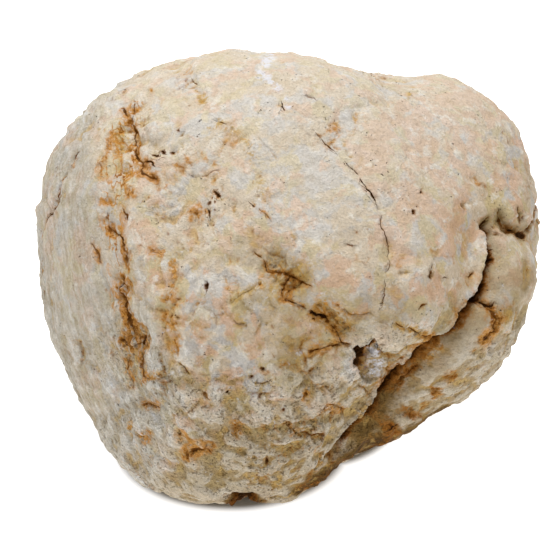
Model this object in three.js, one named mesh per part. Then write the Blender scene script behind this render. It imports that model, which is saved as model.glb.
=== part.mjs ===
// A whole, unopened calcite geode: one rounded, blocky stone about 90 mm wide, in millimetres, +Z up.
//
// The stone is a sphere of triangles pushed out to a body bounded by broken faces, each a flat plane
// with a direction and a reach from the stone's heart, and blended softly where two planes meet.
// Swellings and furrows then break the evenness: the face that shows best is undercut along its lower
// right by a long ledge, a deep cleft opens in the right end, and a small cavity is broken into the shell.
// The stone stands on a small flat spot, whose plane is z = 0 with the origin under the stone's heart.

import * as THREE from "three";
import { ImprovedNoise } from "three/addons/math/ImprovedNoise.js";
import { mergeVertices } from "three/addons/utils/BufferGeometryUtils.js";

const HEART_HEIGHT = 37; // from the resting plane up to the point that every reach is measured from
const EYE_DISTANCE = 500; // from the heart to the eye that each side's furrows are sketched from
const EDGE_SHARPNESS = 24; // a higher power gives sharper edges between the broken faces
const SPHERE_DETAIL = 17; // 20 * (detail + 1)^2 triangles

// The axes of a side of the stone, as an eye sees it that stands at an azimuth and looks down at a slope,
// both in degrees: across to its right, up the side, and out towards the eye.
function sideAxes(azimuth, slope) {
  const turn = new THREE.Euler(
    THREE.MathUtils.degToRad(-slope),
    0,
    THREE.MathUtils.degToRad(azimuth),
    "ZYX",
  );
  return {
    across: new THREE.Vector3(1, 0, 0).applyEuler(turn),
    up: new THREE.Vector3(0, 0, 1).applyEuler(turn),
    out: new THREE.Vector3(0, -1, 0).applyEuler(turn),
  };
}
const SHOWING = sideAxes(0, 35);
const FAR = sideAxes(170, 20);

// A direction from its angle around the showing side, anticlockwise from the right, and its lean towards the eye.
function direction(around, lean) {
  const a = THREE.MathUtils.degToRad(around);
  const l = THREE.MathUtils.degToRad(lean);
  return new THREE.Vector3()
    .addScaledVector(SHOWING.across, Math.cos(l) * Math.cos(a))
    .addScaledVector(SHOWING.up, Math.cos(l) * Math.sin(a))
    .addScaledVector(SHOWING.out, Math.sin(l));
}

// Each broken face: [angle around, lean towards the eye, reach from the heart].
const BROKEN_FACES = [
  // the rim, anticlockwise from the right end
  [0, 0, 46.5],
  [19, -4, 50],
  [59, 2, 48.5],
  [79, 4, 39.6],
  [98, -4, 40.8],
  [130, 4, 46],
  [142, -12, 46.5],
  [162, -4, 48.5],
  [181, 2, 45.5],
  [203, 0, 42],
  [226, 2, 45],
  [249, -4, 45],
  [270, 4, 39.6],
  [303, -2, 35],
  [318, 0, 41.8],
  [338, -4, 43.4],
  // the showing side: flank, main face, shoulder, right end, wall under the ledge and belly
  [180, 35, 38.5],
  [203, 32, 37.6],
  [140, 68, 35],
  [60, 68, 36.5],
  [55, 45, 41],
  [28, 42, 43],
  [2, 48, 42],
  [303, 34, 35],
  [268, 72, 35.5],
  [248, 44, 40.5],
  [222, 62, 38.5],
  [100, 42, 40],
  [138, 40, 43],
  // the far side
  [40, -42, 40],
  [88, -52, 39],
  [135, -45, 42],
  [178, -40, 41],
  [215, -55, 39],
  [0, -36, 42],
  [330, -50, 38],
  [60, -80, 37],
  // underneath, where the stone rests
  [270, -35, HEART_HEIGHT + 0.6],
  [290, -60, 38],
].map(([around, lean, reach]) => ({ normal: direction(around, lean), reach }));

// How far the blended body reaches along a unit direction.
function bodyReach(unit) {
  let sum = 0;
  for (const { normal, reach } of BROKEN_FACES) {
    sum += Math.max(0, unit.dot(normal) / reach) ** EDGE_SHARPNESS;
  }
  return sum ** (-1 / EDGE_SHARPNESS);
}

// Swellings and hollows: [angle around, lean, radius, height], a hollow having a negative height.
const SWELLINGS = [
  [52, 4, 6.5, 2.2], // knob at the upper right shoulder
  [60, 4, 5.5, -1.6], // dip beside the knob
  [291, 0, 8, -3], // hollow between the belly and the underside
  [270, 20, 12, 0.9], // belly above the resting spot
  [232, 62, 16, 1.4], // lobe low on the main face
  [20, 62, 15, 1.1], // lobe right of the middle
  [342, 26, 10, 1], // swelling below the right end's cleft
  [150, -30, 16, 1.6],
  [60, -60, 15, -1.6],
  [340, -45, 16, 1.5],
  [235, -50, 14, -1.4],
  [110, -28, 12, -1.2],
].map(([around, lean, radius, height]) => {
  const unit = direction(around, lean);
  return { centre: unit.clone().multiplyScalar(bodyReach(unit)), radius, height };
});

// Furrows as lines sketched on a side, in millimetres across and up from the heart.
const FURROWS = [
  // the long ledge that undercuts the main face, from the right end down to the belly
  {
    side: SHOWING,
    line: [[37.2, 6], [37, 0], [34, -5], [30.5, -9.4], [26, -12.8], [21, -18.2], [17.4, -22.5], [12, -28]],
    width: 3.2,
    depth: 3.4,
  },
  // the cleft across the right end
  { side: SHOWING, line: [[35.5, 9], [38.3, 11.6], [41, 9.3], [46.5, 8.3]], width: 2.6, depth: 2.4 },
  // the fold from the notch in the top rim down to the cleft
  { side: SHOWING, line: [[21.5, 37], [24, 29], [28.5, 21], [33, 14], [35.5, 9]], width: 4.5, depth: 1.1 },
  // the seam between the left flank and the main face
  {
    side: SHOWING,
    line: [[-24, 35], [-27.5, 27], [-30.5, 15], [-31, 8.5], [-28.6, 2], [-28.5, -6], [-26, -12], [-24.5, -22]],
    width: 3,
    depth: 1.2,
  },
  // the broken furrow that runs down to the cavity
  { side: SHOWING, line: [[-2, 4.5], [2, 1.2], [5, -4.8], [9.5, -9], [13.4, -12.8]], width: 2.8, depth: 1.5 },
  // the far side's long slanting ledge and its branch
  { side: FAR, line: [[-34, 12], [-22, 15], [-10, 9], [2, 7], [14, -3], [24, -6], [33, -16]], width: 3.4, depth: 2.6 },
  { side: FAR, line: [[2, 7], [8, 17], [7, 27]], width: 3, depth: 1.6 },
  // the far side's low seam
  { side: FAR, line: [[-28, -8], [-17, -14], [-6, -15], [3, -22]], width: 3, depth: 1.8 },
];

// The cavity broken into the shell, sketched on the showing side.
const CAVITY = { at: [16.2, -14.6], radius: 3.4, depth: 3.2 };

// A bell from 1 at the middle to 0 at 2.5 widths.
const bell = (distance, width) => Math.exp(-((distance / width) ** 2));

// The distance in the sketch from a point to a line of straight strokes.
function distanceToLine(x, y, line) {
  let nearest = Infinity;
  for (let i = 1; i < line.length; i += 1) {
    const [x0, y0] = line[i - 1];
    const [x1, y1] = line[i];
    const length2 = (x1 - x0) ** 2 + (y1 - y0) ** 2;
    const along = THREE.MathUtils.clamp(((x - x0) * (x1 - x0) + (y - y0) * (y1 - y0)) / length2, 0, 1);
    nearest = Math.min(nearest, Math.hypot(x - x0 - along * (x1 - x0), y - y0 - along * (y1 - y0)));
  }
  return nearest;
}

// A point as an eye sees it on a side: across and up in the sketch, and how squarely it faces the eye, from 0 to 1.
function seenFrom(side, point) {
  const out = point.dot(side.out);
  const spread = EYE_DISTANCE / (EYE_DISTANCE - out);
  return {
    x: point.dot(side.across) * spread,
    y: point.dot(side.up) * spread,
    facing: THREE.MathUtils.smoothstep(out, 0, 6),
  };
}

// How much the waves, swellings, furrows and cavity raise the surface at a point of the blended body.
const noise = new ImprovedNoise();
const WAVES = [
  { length: 24, height: 1.3 },
  { length: 11, height: 0.7 },
  { length: 6, height: 0.3 },
];
function relief(point) {
  let height = 0;
  for (const wave of WAVES) {
    const { x, y, z } = point.clone().divideScalar(wave.length);
    height += wave.height * noise.noise(x + 3.1, y + 7.7, z);
  }
  for (const swelling of SWELLINGS) {
    height += swelling.height * bell(point.distanceTo(swelling.centre), swelling.radius);
  }
  for (const { side, line, width, depth } of FURROWS) {
    const { x, y, facing } = seenFrom(side, point);
    height -= facing * depth * bell(distanceToLine(x, y, line), width);
  }
  const { x, y, facing } = seenFrom(SHOWING, point);
  const fromCavity = Math.hypot(x - CAVITY.at[0], y - CAVITY.at[1]);
  return height - facing * CAVITY.depth * bell(fromCavity, CAVITY.radius);
}

// The stone: every point of the sphere goes out to the body and its relief, and none goes below the flat spot.
function stoneGeometry() {
  const sphere = new THREE.IcosahedronGeometry(1, SPHERE_DETAIL);
  sphere.deleteAttribute("normal");
  sphere.deleteAttribute("uv");
  const geometry = mergeVertices(sphere, 1e-5);
  const position = geometry.getAttribute("position");
  const point = new THREE.Vector3();
  for (let i = 0; i < position.count; i += 1) {
    const unit = point.fromBufferAttribute(position, i).normalize().clone();
    point.multiplyScalar(bodyReach(unit));
    point.addScaledVector(unit, relief(point));
    point.z = Math.max(point.z + HEART_HEIGHT, 0);
    position.setXYZ(i, point.x, point.y, point.z);
  }
  geometry.computeVertexNormals();
  return geometry;
}

const rind = new THREE.MeshStandardMaterial({ color: 0xd8c7ae, roughness: 0.85, metalness: 0 });
const stone = new THREE.Mesh(stoneGeometry(), rind);
stone.name = "geode_stone";

const geode = new THREE.Group();
geode.add(stone);

export default geode;
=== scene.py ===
"""A whole, unopened calcite geode, built around its plain solid.

The plain solid gives the stone's size and its broad faces. Its copy is cut finer and its surface is raised,
cracked and chipped: rounded knobs with crevices between them all round, and the features that make this
stone known again, which are strokes sketched on its sides. What the relief finds on the way, such as how
close a crevice is, is kept on the mesh as named attributes, and the material reads them.
"""

import math
from collections import namedtuple
from functools import partial

import bmesh
import bpy
import numpy as np
from bpy.props import FloatProperty, FloatVectorProperty, PointerProperty
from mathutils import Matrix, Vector, noise


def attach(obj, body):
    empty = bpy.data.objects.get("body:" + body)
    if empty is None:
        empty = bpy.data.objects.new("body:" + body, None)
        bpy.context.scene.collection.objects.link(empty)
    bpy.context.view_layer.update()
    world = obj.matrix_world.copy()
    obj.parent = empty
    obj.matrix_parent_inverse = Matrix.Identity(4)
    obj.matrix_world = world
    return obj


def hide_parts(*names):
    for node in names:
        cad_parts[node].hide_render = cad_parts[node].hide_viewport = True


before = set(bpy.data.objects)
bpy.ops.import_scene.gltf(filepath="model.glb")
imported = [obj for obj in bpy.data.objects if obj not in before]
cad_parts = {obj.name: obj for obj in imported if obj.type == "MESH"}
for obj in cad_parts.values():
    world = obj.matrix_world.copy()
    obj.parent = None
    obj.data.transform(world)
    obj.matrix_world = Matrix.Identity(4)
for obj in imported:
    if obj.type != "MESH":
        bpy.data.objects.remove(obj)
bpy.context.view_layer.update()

bl_info = {
    "name": "Calcite geode",
    "version": (1, 0, 0),
    "blender": (4, 5, 0),
    "location": "3D View > Sidebar > Geode",
    "description": "Builds a calcite geode with knobs, crevices and rust stains, and a white table for it",
    "category": "Add Mesh",
}

NODE = "geode_stone"
MM = 0.001  # the relief is worked out in millimetres from the heart, and the meshes are in metres
EYE_DISTANCE = 500.0  # mm from the heart to the eye that each side is sketched from
WHOLE_CUTS = 2  # times that the whole mesh is cut finer and smoothed, before it is cut near crevices
FINER = (150_000, 178_000, 196_000)  # triangles aimed at, each time that the mesh is cut finer near crevices
GRAIN = (-0.24, 0.55, 0.8)  # the direction in which the flank is streaked
SHORTEST = 0.12  # mm, edges this short or shorter come last when edges are picked for cutting
AVERAGINGS = 12  # rounds that smooth the surroundings which a hollow is measured from
LAMP_WIDTH = 0.4  # metres
LAMP_PLACE = (-0.08, 0.1, 0.7)  # metres from the origin, which is on the table under the heart
NOISE_SEED = 1795341446  # without a seed, the noise vectors change with the clock


# --- Sketching on the stone ---------------------------------------------------------------------------


def rise(x, low, high):
    """0 below low, 1 above high and smooth between them."""
    t = np.clip((x - low) / (high - low), 0.0, 1.0)
    return t * t * (3.0 - 2.0 * t)


def bell(distance, width):
    """1 at no distance, falling to a third at one width."""
    return np.exp(-((distance / width) ** 2))


class Side:
    """A side of the stone as an eye sees it that looks at the heart, in mm across and up from the heart."""

    def __init__(self, azimuth, slope):
        turn, tilt = math.radians(azimuth), math.radians(slope)
        self.across = np.array([math.cos(turn), math.sin(turn), 0.0])
        self.out = np.array(
            [math.sin(turn) * math.cos(tilt), -math.cos(turn) * math.cos(tilt), math.sin(tilt)]
        )
        self.up = np.cross(self.out, self.across)

    def sketch(self, points):
        """Where the eye sees each point."""
        spread = EYE_DISTANCE / (EYE_DISTANCE - points @ self.out)
        return np.stack([points @ self.across * spread, points @ self.up * spread], axis=1)

    def facing(self, points, normals):
        """1 where the surface looks at the eye and 0 where it turns away."""
        sight = self.out * EYE_DISTANCE - points
        sight /= np.linalg.norm(sight, axis=1)[:, None]
        return rise(np.sum(sight * normals, axis=1), -0.02, 0.16)

    def place(self, across, up, out):
        """A point given by how far it is across, up and out from the heart."""
        return across * self.across + up * self.up + out * self.out

    def lift(self, steps):
        """Steps in the sketch as steps of the surface."""
        return steps[:, :1] * self.across + steps[:, 1:] * self.up


SHOWING = Side(0, 35)
FRONT = Side(0, -10)
RIGHT = Side(85, 12)
FAR = Side(170, 20)
LEFT = Side(262, 14)

Near = namedtuple("Near", "distance along left step")


def nearest(places, line):
    """How each place lies to a line of straight strokes: its distance, the share of the line that comes
    before the nearest point, 1 on the line's left or -1 on its right, and the unit step away from it."""
    line = np.asarray(line, float)
    if len(line) == 1:
        gap = places - line[0]
        distance = np.maximum(np.linalg.norm(gap, axis=1), 1e-6)
        return Near(distance, np.full(len(places), 0.5), np.ones(len(places)), gap / distance[:, None])
    start, run = line[:-1], np.diff(line, axis=0)
    length = np.linalg.norm(run, axis=1)
    before = np.concatenate([[0.0], np.cumsum(length)])
    gaps = places[:, None] - start
    share = np.clip(np.einsum("nmk,mk->nm", gaps, run) / length**2, 0.0, 1.0)
    gaps -= share[:, :, None] * run
    apart = np.linalg.norm(gaps, axis=2)
    best = np.argmin(apart, axis=1)
    rows = np.arange(len(places))
    gap, distance = gaps[rows, best], np.maximum(apart[rows, best], 1e-6)
    along = (before[best] + share[rows, best] * length[best]) / before[-1]
    left = np.where(run[best, 0] * gap[:, 1] - run[best, 1] * gap[:, 0] > 0, 1.0, -1.0)
    return Near(distance, along, left, gap / distance[:, None])


def inside(places, outline):
    """Whether each place is inside a closed outline."""
    found = np.zeros(len(places), bool)
    x, y = places.T
    for (x0, y0), (x1, y1) in zip(outline, outline[1:] + outline[:1]):
        if y0 != y1:
            found ^= ((y0 > y) != (y1 > y)) & (x < x0 + (y - y0) * (x1 - x0) / (y1 - y0))
    return found


# --- Noise --------------------------------------------------------------------------------------------


def shifted(points, size, seed):
    """Points as a list in a noise's own units, moved so that no two seeds look alike."""
    return (points / size + (17.3 * seed, -9.1 * seed, 5.7 * seed)).tolist()


def waves(points, size, seed):
    """Smooth noise, mostly from -0.6 to 0.6, whose waves are about size long."""
    return np.array([noise.noise(p) for p in shifted(points, size, seed)])


def rough(points, size, seed, octaves, fall=0.9):
    """Noise with finer noise on it, mostly from -1 to 1."""
    return np.array([noise.fractal(p, fall, 2.1, octaves) for p in shifted(points, size, seed)])


def drift(points, size, seed):
    """A smoothly changing step at each point, each part of it mostly from -0.6 to 0.6."""
    return np.array([noise.noise_vector(p) for p in shifted(points, size, seed)])


Plates = namedtuple("Plates", "border tilt chance")


def plates(points, size, seed):
    """A stone broken into plates about size across: how far each point is from its plate's border, how high
    the plate's own tilt puts it, as a share of size, and the plate's own random number from 0 to 1."""
    places = shifted(points, size, seed)
    found = np.array([[*c[0], *c[1]] for _, c in map(noise.voronoi, places)])
    here, own, other = np.array(places), found[:, :3], found[:, 3:]
    run = other - own
    run /= np.maximum(np.linalg.norm(run, axis=1), 1e-6)[:, None]
    border = np.maximum(np.sum(((own + other) / 2 - here) * run, axis=1), 0.0) * size

    def hashed(cell, pick):
        return np.modf(np.abs(np.sin(np.round(cell, 3) @ pick)) * 9731.7)[0]

    picks = np.array([[12.99, 78.23, 37.72], [39.35, 11.14, 83.15], [73.16, 52.24, 9.15]])

    def height(cell):
        slope = np.stack([hashed(cell, pick) for pick in picks], axis=1) - 0.5
        return np.sum((here - cell) * slope, axis=1) + 0.4 * (hashed(cell, picks.sum(axis=0)) - 0.5)

    share = 0.5 * np.exp(-border / 0.3)
    tilt = (1 - share) * height(own) + share * height(other)
    return Plates(border, tilt, hashed(own, picks[0] - picks[2]))


# --- The sketched features ------------------------------------------------------------------------------

# What a stroke leaves on the surface, besides its depth: how dark it is (mostly painted shade in crevices and
# pits), how rusty, ochre, grey, blushed or white, how much knobbier than its surroundings, how much dust and
# painted shade it has, how much painted light, and how much a seam runs through it.
MARKS = ("dark", "rust", "ochre", "grey", "blush", "white", "knobs", "dust", "pale_and_lit", "seam")
Stroke = namedtuple("Stroke", "side line width depth marks")


def stroke(side, line, width, depth=0.0, **marks):
    """A stroke along a line or round a point: its half width and depth in mm, and its marks' strengths."""
    return Stroke(side, line, width, depth, marks)


showing = partial(stroke, SHOWING)


# Broad swellings and hollows: how far across, up and out on the showing side, their radius and their height.
SWELLINGS = [
    (29.5, 35, 0, 6, 2.2), (18, 37.5, 0, 4.5, 0.6), (-20.5, 38.5, 0, 6.5, 1.4),
    (-9, 41, 0, 7, 0.3), (-33.5, 31.5, 0, 5, -2), (46, 10, 0, 6, 1),
    (9.5, -33, 5, 6, -1.2), (37.5, 11, 22, 2.6, 0.6), (40, 18.5, 8, 4, -0.9),
    (44, -7.5, 14.5, 4, -1.4), (34.9, 12.3, 20.2, 2.2, 0.6), (40.6, 12.2, 15.7, 2.2, 0.8),
    (38.2, 7, 18.1, 2, 0.7), (38, 0.7, 20, 3.2, 0.8), (35, -6.2, 23.8, 3, 0.8),
    (-21.8, 26.2, 21.8, 2.8, 0.8),
]

# The lip of the long ledge that undercuts the main face, from the right end down to the belly. The stone
# above it is on the line's right.
LIP = [
    (37.4, 10.6), (35.8, 9.2), (36.6, 7.4), (36.9, 4.2), (36.3, 2.4), (35.7, -0.6), (34.7, -2.4),
    (33.3, -4.3), (31.4, -5.6), (31.6, -6.5), (30.8, -7.8), (29.5, -8.6), (27.2, -9.5), (25.6, -11.4),
    (23.7, -13.5), (21.5, -15.2), (19.6, -17), (18.4, -18.7), (17.2, -20.3), (16.6, -22), (14.9, -24),
    (12.3, -26), (11.6, -27.8), (10.4, -30.2), (8.4, -32.8), (7.2, -35.3),
]

# The cavity's outline. Its upper left edge overhangs, from OVERHANG's first to its last point.
CAVITY = [
    (13.3, -12.7), (13.8, -12), (14.2, -12.4), (15, -12.1), (15.7, -11.6), (16.1, -11), (16.7, -10.3),
    (17.1, -10.9), (17.4, -11.7), (17.9, -12.5), (18.7, -13.7), (19.3, -15.1), (18.7, -16.6), (17.3, -18),
    (15.8, -18.5), (14.9, -17.4), (14.6, -16.2), (14.2, -15.6), (13.4, -14.9), (13.8, -14.3), (14.1, -13.9),
    (13.8, -13.2),
]
OVERHANG = CAVITY[17:] + CAVITY[:7]

STROKES = [
    # the cleft across the right end, its branches and the holes beside the ledge, darkened with painted shade
    showing([(35.4, 9.2), (36.3, 10.1), (37.3, 10.5), (38.1, 11.6)], 0.75, 1.1, dark=0.6, dust=1.6),
    showing([(39.3, 13.3), (39.7, 10.9), (40.6, 9.4), (42, 9), (42.9, 8.5), (43.4, 8.1), (44.3, 9),
             (45.6, 9.8)], 0.8, 1.2, dark=0.5, dust=1.7, rust=0.15),
    showing([(40.9, 9.4), (42.6, 8.9)], 0.5, 0.4, dark=1),
    showing([(43, 8.6), (43.8, 8)], 0.5, 0.4, dark=1, rust=0.3),
    showing([(42.8, 14), (43.5, 12), (43.6, 10.1)], 0.5, 0.8, dark=0.5, dust=0.8, rust=0.2),
    showing([(32.9, 14.9), (33.3, 13), (33.9, 11.6)], 0.5, 0.6, dark=0.35, rust=0.25),
    showing([(37.7, 9.9), (39.4, 9.4)], 0.45, 0.5, dark=0.4, dust=0.4),
    showing([(37.9, 8.7), (40.2, 8.5)], 0.4, 0.4, dark=0.35, dust=0.4),
    showing([(37, 5.6), (39.2, 5.8)], 0.5, 0.8, dark=0.55, dust=0.8),
    showing([(36.8, 4.5), (37.6, 4.1), (39.2, 3.9)], 0.5, 1, dark=1, dust=0.8, rust=0.2),
    showing([(39.4, 5.8), (39.7, 4.4)], 0.4, 0.5, dark=0.4, dust=0.4),
    showing([(37.2, 6.4), (37.2, 5.4)], 0.4, 0.5, dark=0.8, rust=0.3),
    showing([(36.9, 2.4), (36.6, 0.4), (36.2, -1.6)], 0.9, 0.5, rust=0.3, dust=1, dark=0.25),
    showing([(44.6, 4.6), (44.5, -2.2)], 0.7, 0.4, dust=0.7),
    showing([(40.3, -6.3), (42.6, -6.7)], 0.9, 0.3, dust=0.7, ochre=0.5),
    showing([(36.1, -1.9), (35.7, -2.8), (34.9, -3.6)], 0.8, 1.8, dark=1.6, rust=0.6),
    showing([(34.6, -4), (33.6, -4.9), (32.2, -6.2), (31.6, -7.4)], 0.8, 0.8, dark=0.9, rust=0.8),
    showing([(28.6, -10), (27.2, -10.9), (26, -12.3), (24.9, -13.4), (24.2, -14.2)], 0.75, 0.8, dark=0.9,
            rust=0.9),
    showing([(36, -3), (36.9, -3.8), (37.9, -4.6), (38.4, -4.8), (38.8, -4), (39, -3.5)], 0.6, 1.1,
            dark=0.9, rust=0.5, dust=0.5),
    # the chain of brown stains along the underside of the ledge
    showing([(38.2, -4.9), (38.8, -6.2), (39.3, -7.5), (39, -9.4), (37.8, -10.8)], 0.65, 0.9, dark=0.5,
            rust=0.6, ochre=0.5, dust=0.6),
    showing([(39.6, -7.3), (40.4, -7)], 0.7, ochre=0.6, rust=0.5, dark=0.3),
    showing([(38, -10.6), (37.2, -11.1)], 0.8, 0.3, rust=1, ochre=0.9, dark=0.5),
    showing([(36, -12.6), (34.6, -13.8)], 0.6, 0.2, rust=0.4, ochre=0.6, dust=0.5),
    showing([(32.6, -17.2), (30.4, -17.8), (29.2, -18.6)], 0.7, 0.2, rust=0.8, ochre=0.6, dust=0.8,
            dark=0.2),
    showing([(28.8, -19.2), (28, -20.4), (26.8, -20.9)], 0.8, 0.2, rust=0.9, ochre=0.6, dust=0.8, dark=0.3),
    showing([(34.4, -15.8), (33.4, -16.6)], 0.6, 0.1, rust=0.5, ochre=0.6, dust=0.4),
    showing([(24, -23.2), (23.4, -24.4), (22.9, -25.4)], 0.8, 0.3, rust=1.1, ochre=0.6, dark=0.6, dust=0.8),
    showing([(21.4, -25.6), (20.2, -26.6), (18.6, -27.8)], 1, 0.3, rust=1.1, dark=1, dust=1.2),
    showing([(44.8, 3), (44.8, -3), (43, -8)], 2.2, dust=0.6, ochre=0.2),
    # rust and rubble close under the lip, and painted shadow under it
    showing([(32.2, -6.9), (31.2, -8.8)], 0.9, 0.3, rust=0.9, dark=0.3),
    showing([(29.2, -10.6), (27.6, -11.6), (26.2, -13), (25, -14.4)], 1.3, 0.2, ochre=0.9, rust=0.5),
    showing([(23.8, -14.2), (22.6, -15.6)], 0.9, 0.5, rust=1, dark=0.5),
    showing([(25.4, -15.7), (23.2, -17.6), (21.4, -19.4), (20.4, -20.5)], 0.4, 0.8, rust=0.7, dark=0.4),
    showing([(22.4, -15.4), (21.4, -16.2), (20.4, -17.2), (19.5, -18.4), (18.7, -19.6), (17.9, -20.9)],
            0.85, 1.3, rust=1, dark=1.5),
    showing([(16.8, -21.6), (15.6, -23.8), (13.1, -26.3)], 0.8, 0.2, ochre=0.9, rust=0.4),
    # the pale strip under the ledge
    showing([(33, -11), (26, -18.4), (17, -26.4)], 3.2, grey=0.35, knobs=-0.3),
    # the broken furrow down the main face: a thin upper crack, a rusty lower one and rubble between
    showing([(-6, 14.4), (-4.2, 13.2)], 0.4, 0.5, dark=0.9, rust=0.4),
    showing([(-4.2, 13.2), (-2.8, 11.9), (-1.3, 10.4)], 0.25, 0.3, dark=0.55, rust=0.7),
    showing([(-5, 5.8), (-2.9, 3.6), (-1.8, 1.6), (1.6, 1), (3.2, 0.1), (6.3, -1.6)], 0.3, 0.4, dark=0.4,
            rust=0.5),
    showing([(2.4, 1.2), (1, -0.6), (0.3, -2.4), (0.9, -3.8), (2.5, -4.3), (5.3, -5.5)], 0.3, 0.5, dark=0.5,
            rust=0.6),
    showing([(5.3, -5.5), (7.5, -7.1), (8.7, -8)], 0.4, 0.8, dark=0.8, rust=0.6),
    showing([(8.7, -8), (10.6, -10.2), (11.2, -11.4), (13.2, -12.2)], 0.35, 0.6, dark=0.6, rust=0.6),
    showing([(0.2, -2), (1.6, -1.9), (2, -2.9), (1.2, -3.7)], 0.3, 0.5, dark=0.45, rust=0.6),
    showing([(-3, 4), (1, 1.4), (4, -1.4)], 2.2, 0.8, ochre=0.35, rust=0.3, dust=0.8, knobs=0.9),
    showing([(6, -4.2), (10.4, -7.8), (12.6, -10.4)], 1.4, 0.8, ochre=0.4, rust=0.4, dust=0.4, knobs=0.9),
    showing([(9.4, -3.6), (10.9, -5.5), (13.1, -6.4), (16.8, -6.1)], 0.35, 0.5, dark=0.25, rust=0.4),
    showing([(4.6, -13.2), (6, -13), (8.4, -12.3), (11.8, -12.2)], 0.4, 0.7, dark=0.5, rust=0.7),
    showing([(20.5, -7.4), (22.7, -8.6), (24.9, -9.5), (27, -9.6)], 0.4, 0.8, dark=0.5, ochre=0.9,
            rust=0.5),
    showing([(24.6, -5.6), (25.6, -4.6), (26.8, -4.2)], 0.35, 0.6, dark=0.6, rust=0.6),
    showing([(27.8, 3.6), (27.4, 1.4), (27.3, -0.4)], 0.4, 0.6, dark=0.6, ochre=0.4),
    showing([(35, 2.2), (34.1, 0.7), (33.2, 0.6)], 0.4, 0.6, dark=0.6, rust=0.5),
    showing([(29, 0), (30.4, 0.4), (31.4, 0.2)], 0.3, 0.4, dark=0.5),
    showing([(21.3, 1.1), (23, 1.7), (24, 1.8)], 0.35, 0.5, dark=0.3, ochre=0.9),
    showing([(14.2, -19.3), (16, -20), (16.4, -21.6)], 0.35, 0.6, dark=0.4, rust=0.4),
    showing([(7.4, -25.6), (7.8, -24.4), (9.1, -23.3), (11.2, -23.3), (12.2, -24.2)], 0.4, 0.8, dark=0.5,
            rust=0.7),
    showing([(4.4, -22.8), (4.9, -21.4), (5, -20)], 0.5, 0.5, rust=0.9, dark=0.3),
    showing([(1, -26.6), (3.4, -28.2), (6, -28.4), (8.8, -27.6)], 0.5, 0.7, dark=0.4, rust=0.5),
    # the long thin crack at the upper right
    showing([(5.1, 27.8), (8.2, 24.9), (11.4, 21.8)], 0.14, 0.3, dark=0.5),
    showing([(11.4, 21.8), (12.9, 20.2), (14, 18.4)], 0.22, 0.5, dark=0.9),
    showing([(14, 18.4), (15.6, 17), (17, 14.8), (18.1, 12.4)], 0.18, 0.5, dark=0.85),
    showing([(18.1, 12.4), (18.3, 10.4), (19.7, 7.2), (20, 3.2), (19, 0.7)], 0.16, 0.3, dark=0.4),
    showing([(19, 0.7), (18.8, -3), (18.3, -4.9), (16.8, -6.1)], 0.16, 0.3, dark=0.45),
    showing([(3.9, 33.4), (5.5, 33.3), (6.9, 32.1)], 0.35, 0.5, dark=0.35, grey=0.6),
    showing([(-4.5, 26.2), (-2.9, 24.7), (-1, 22.6), (0.3, 21.7)], 0.35, 0.3, dark=0.2, grey=0.6),
    showing([(-12.5, 29.4), (-11.2, 29), (-9.6, 28.2)], 0.3, 0.4, dark=0.5, ochre=0.4),
    showing([(-16.4, 37.2), (-15.4, 36), (-14.6, 35.1)], 0.25, 0.3, dark=0.4),
    showing([(-14.2, 34.6), (-14, 33), (-14.3, 31.7)], 0.6, 0.2, ochre=1, rust=0.3),
    showing([(-13, 28.4), (-12.7, 26.6)], 0.7, 0.2, ochre=0.9, rust=0.3),
    # white calcite that breaks through near the top, with a short dark crack in it
    showing([(-1.2, 41.6), (-2.2, 39.6), (-2.9, 37.6)], 1.4, -0.1, white=0.65, knobs=-0.5),
    showing([(-5.2, 37.7), (-3.4, 36.9), (-1.2, 35.5), (0.3, 33.6)], 0.95, -0.1, white=0.65, knobs=-0.5),
    showing([(0.3, 33.6), (1.1, 32), (1.8, 30.2)], 0.75, -0.1, white=0.65, knobs=-0.5),
    showing([(-3.9, 35.8), (-2.8, 35.4)], 0.7, 0.2, grey=0.9),
    showing([(-0.1, 32.8), (0.3, 31.8), (0.75, 30.2)], 0.2, 0.2, dark=0.9),
    showing([(-0.2, 39.3), (0.6, 38.4)], 0.6, 0.1, ochre=0.8, rust=0.3),
    # the rusty braided seam between the flank and the main face
    showing([(-29.1, 32.2), (-28.1, 30.2), (-27.5, 29.4)], 0.5, 0.44, dark=0.49, rust=0.64),
    showing([(-23.4, 35.2), (-23.2, 33.6)], 0.5, 0.17, rust=0.64, ochre=0.5),
    showing([(-26.2, 33), (-26.7, 30.8), (-27.2, 28.2), (-27.3, 26.6), (-27, 24.1), (-26.3, 22.9),
             (-25.4, 21.5), (-25.3, 19.4), (-23.7, 18.7), (-22.3, 18.4)], 0.45, 0.5, dark=0.45, rust=0.85),
    showing([(-25.4, 21.6), (-23.8, 21.7), (-22.8, 20.4)], 0.45, 0.4, dark=1, rust=0.6),
    showing([(-24.7, 21.4), (-25, 19.9)], 1.1, 0.17, rust=0.9, ochre=0.6, dark=0.2),
    showing([(-23.3, 23.1), (-22.5, 22.9)], 0.4, 0.3, dark=1.3),
    showing([(-21.6, 23.7), (-21, 23.4)], 0.45, 0.3, dark=1.3),
    showing([(-20.2, 23), (-19.3, 23.2), (-17.8, 23.7)], 0.4, 0.3, dark=0.7, ochre=0.7, rust=0.3),
    showing([(-29.5, 28.6), (-29.6, 26.9), (-29.3, 24.6), (-29.8, 22.4)], 0.55, 0.22, rust=0.6, ochre=0.5,
            dark=0.2),
    showing([(-31.1, 27.2), (-31.5, 24.2), (-32.7, 21.4), (-32.9, 19.2), (-31.6, 17.9)], 0.45, 0.28,
            dark=0.28, rust=0.64),
    showing([(-28.5, 20.6), (-28.7, 18.6)], 1, 0.22, rust=0.76, ochre=0.5),
    showing([(-27.7, 17.2), (-26.9, 15.4), (-27.4, 14.3)], 0.7, 0.22, rust=0.72, dark=0.21),
    showing([(-31.5, 15.2), (-31.7, 13.4)], 1.1, 0.33, rust=0.8, dark=0.35),
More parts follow.
